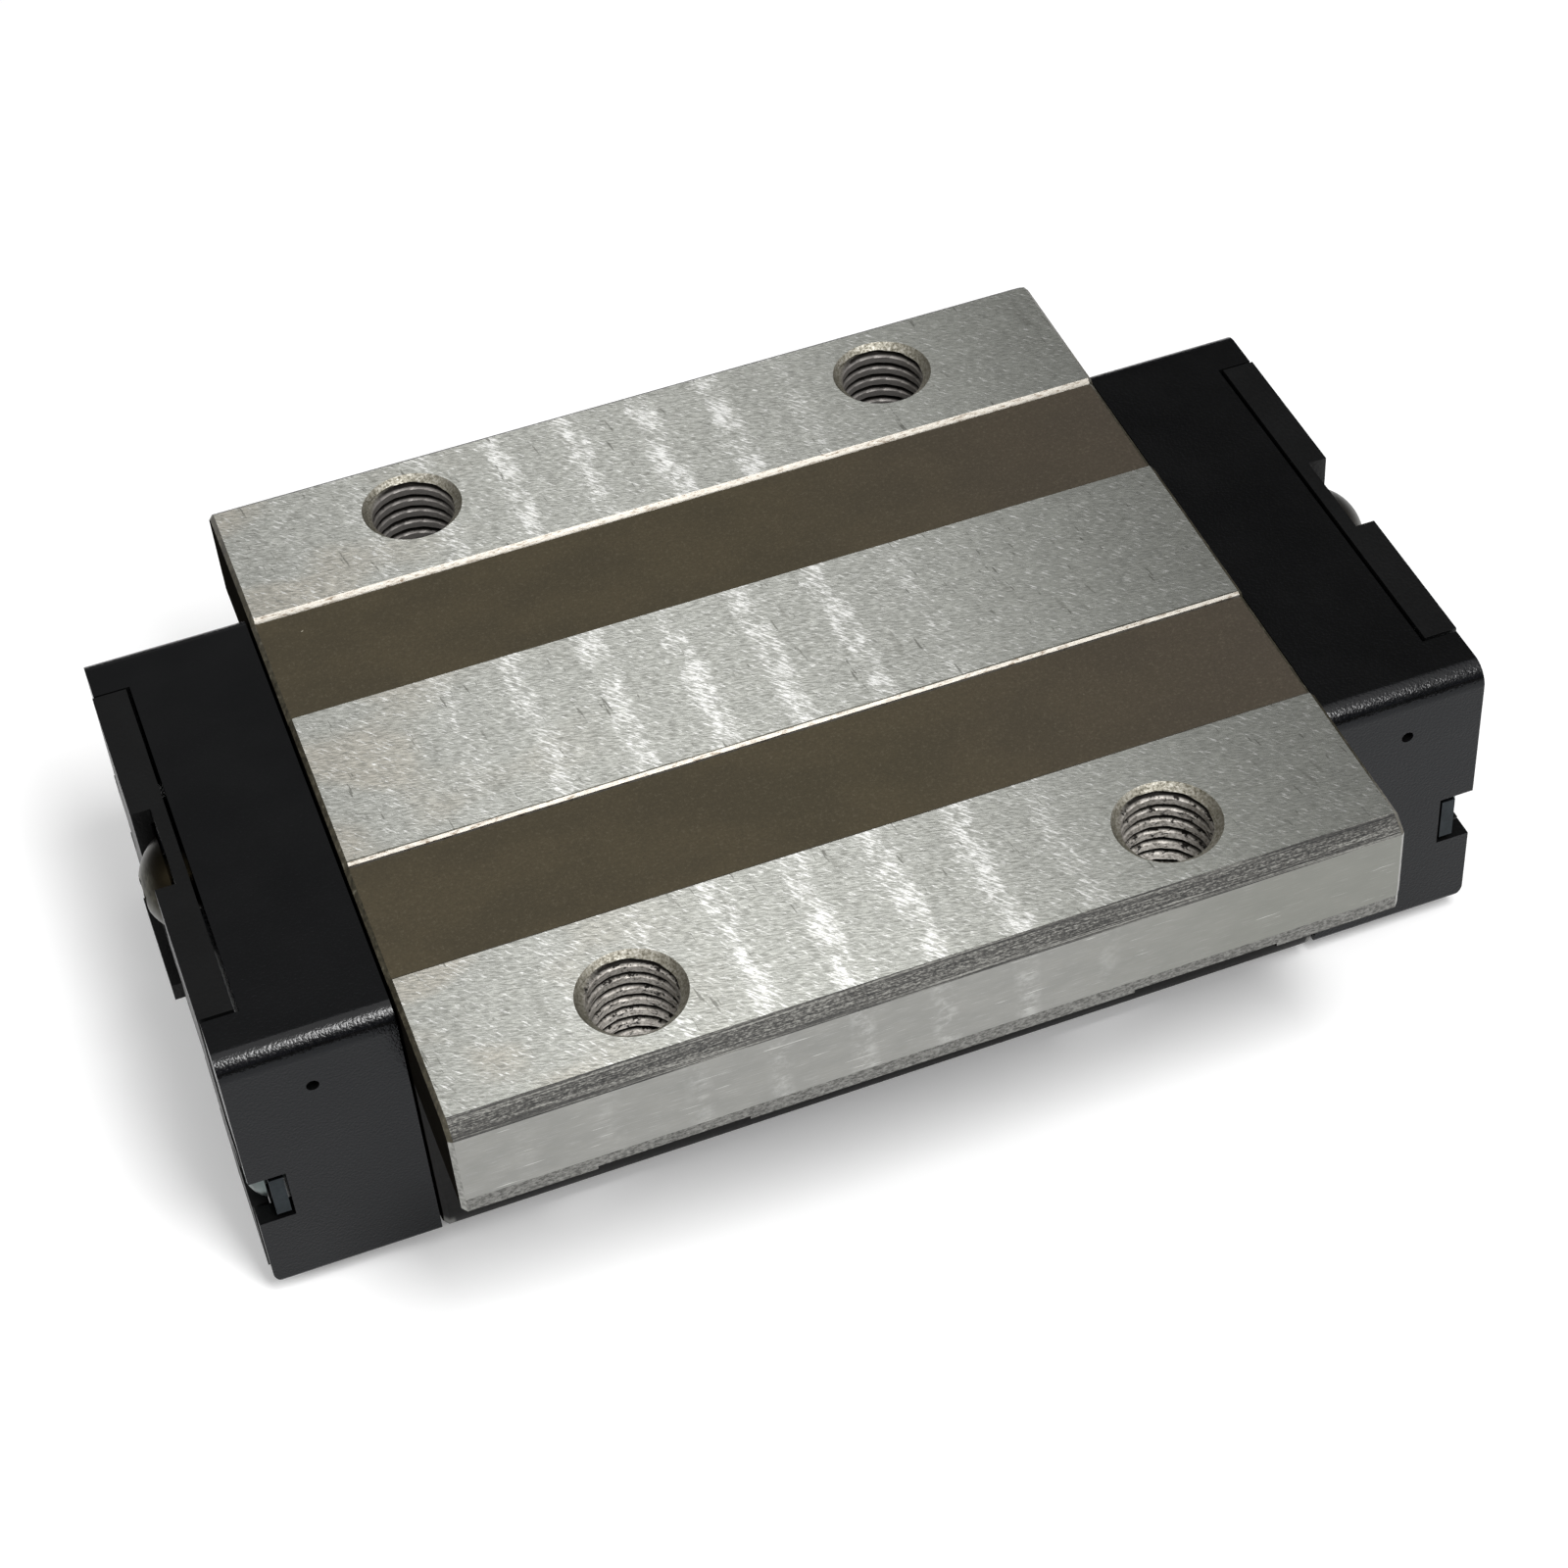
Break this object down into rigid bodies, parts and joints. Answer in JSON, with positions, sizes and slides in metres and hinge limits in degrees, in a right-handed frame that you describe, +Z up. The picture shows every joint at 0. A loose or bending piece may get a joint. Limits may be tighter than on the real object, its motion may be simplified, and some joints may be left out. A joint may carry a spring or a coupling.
{
  "type": "linear guide carriage",
  "caption": "Flanged ball carriage for a profile rail: steel block with tapped flange, black end caps and seals, ball rows inside.",
  "frame": {"origin": "middle of the foot: centre of the carriage in plan, on the plane of its two lower faces", "axes": "+X along the direction of travel, +Y across the rail, +Z up to the mounting face"},
  "size_m": [0.128, 0.09, 0.035],
  "materials": {
    "block_steel": "ground top lands and edges, dark brown oxide on the relief strips and end faces",
    "cap_resin": "matte black glass-filled resin with a fine moulded grain",
    "seal_rubber": "matte black nitrile rubber",
    "plate_steel": "black coated sheet steel",
    "plug_steel": "bright zinc plated steel with a faint yellow tint",
    "screw_steel": "bright zinc plated steel",
    "black_screw_steel": "black oxide steel",
    "guide_resin": "satin moulded acetal",
    "tube_resin": "natural acetal tube",
    "ball_steel": "polished bearing steel"
  },
  "bodies": {
    "carriage": {"carriage_block": "block_steel", "end_cap_left": "cap_resin", "end_seal_left": "seal_rubber", "seal_plate_left": "plate_steel", "grease_plug_left": "plug_steel", "return_guide_left_front": "guide_resin", "seal_screw_left_front": "screw_steel", "cap_screw_left_front": "black_screw_steel", "return_guide_left_back": "guide_resin", "seal_screw_left_back": "screw_steel", "cap_screw_left_back": "black_screw_steel", "end_cap_right": "cap_resin", "end_seal_right": "seal_rubber", "seal_plate_right": "plate_steel", "grease_plug_right": "plug_steel", "return_guide_right_front": "guide_resin", "seal_screw_right_front": "screw_steel", "cap_screw_right_front": "black_screw_steel", "return_guide_right_back": "guide_resin", "seal_screw_right_back": "screw_steel", "cap_screw_right_back": "black_screw_steel", "return_tube_front_upper": "tube_resin", "return_tube_front_lower": "tube_resin", "side_retainer_front": "guide_resin", "side_seal_front": "seal_rubber", "return_tube_back_upper": "tube_resin", "return_tube_back_lower": "tube_resin", "side_retainer_back": "guide_resin", "side_seal_back": "seal_rubber", "upper_retainer": "guide_resin"},
    "loaded_row_front_upper": {"loaded_balls_front_upper": "ball_steel"},
    "return_row_front_upper": {"return_balls_front_upper": "ball_steel"},
    "loaded_row_front_lower": {"loaded_balls_front_lower": "ball_steel"},
    "return_row_front_lower": {"return_balls_front_lower": "ball_steel"},
    "loaded_row_back_upper": {"loaded_balls_back_upper": "ball_steel"},
    "return_row_back_upper": {"return_balls_back_upper": "ball_steel"},
    "loaded_row_back_lower": {"loaded_balls_back_lower": "ball_steel"},
    "return_row_back_lower": {"return_balls_back_lower": "ball_steel"}
  },
  "joints": [
    {"name": "loaded_front_upper", "type": "slide", "parent": "carriage", "child": "loaded_row_front_upper", "axis": [1, 0, 0], "range_m": [-0.0032, 0.0032]},
    {"name": "return_front_upper", "type": "slide", "parent": "carriage", "child": "return_row_front_upper", "axis": [1, 0, 0], "range_m": [-0.0032, 0.0032]},
    {"name": "loaded_front_lower", "type": "slide", "parent": "carriage", "child": "loaded_row_front_lower", "axis": [1, 0, 0], "range_m": [-0.0032, 0.0032]},
    {"name": "return_front_lower", "type": "slide", "parent": "carriage", "child": "return_row_front_lower", "axis": [1, 0, 0], "range_m": [-0.0032, 0.0032]},
    {"name": "loaded_back_upper", "type": "slide", "parent": "carriage", "child": "loaded_row_back_upper", "axis": [1, 0, 0], "range_m": [-0.0032, 0.0032]},
    {"name": "return_back_upper", "type": "slide", "parent": "carriage", "child": "return_row_back_upper", "axis": [1, 0, 0], "range_m": [-0.0032, 0.0032]},
    {"name": "loaded_back_lower", "type": "slide", "parent": "carriage", "child": "loaded_row_back_lower", "axis": [1, 0, 0], "range_m": [-0.0032, 0.0032]},
    {"name": "return_back_lower", "type": "slide", "parent": "carriage", "child": "return_row_back_lower", "axis": [1, 0, 0], "range_m": [-0.0032, 0.0032]}
  ],
  "couplings": [
    {"joint": "return_front_upper", "follows": "loaded_front_upper", "ratio": -1},
    {"joint": "return_front_lower", "follows": "loaded_front_lower", "ratio": -1},
    {"joint": "return_back_upper", "follows": "loaded_back_upper", "ratio": -1},
    {"joint": "return_back_lower", "follows": "loaded_back_lower", "ratio": -1}
  ]
}
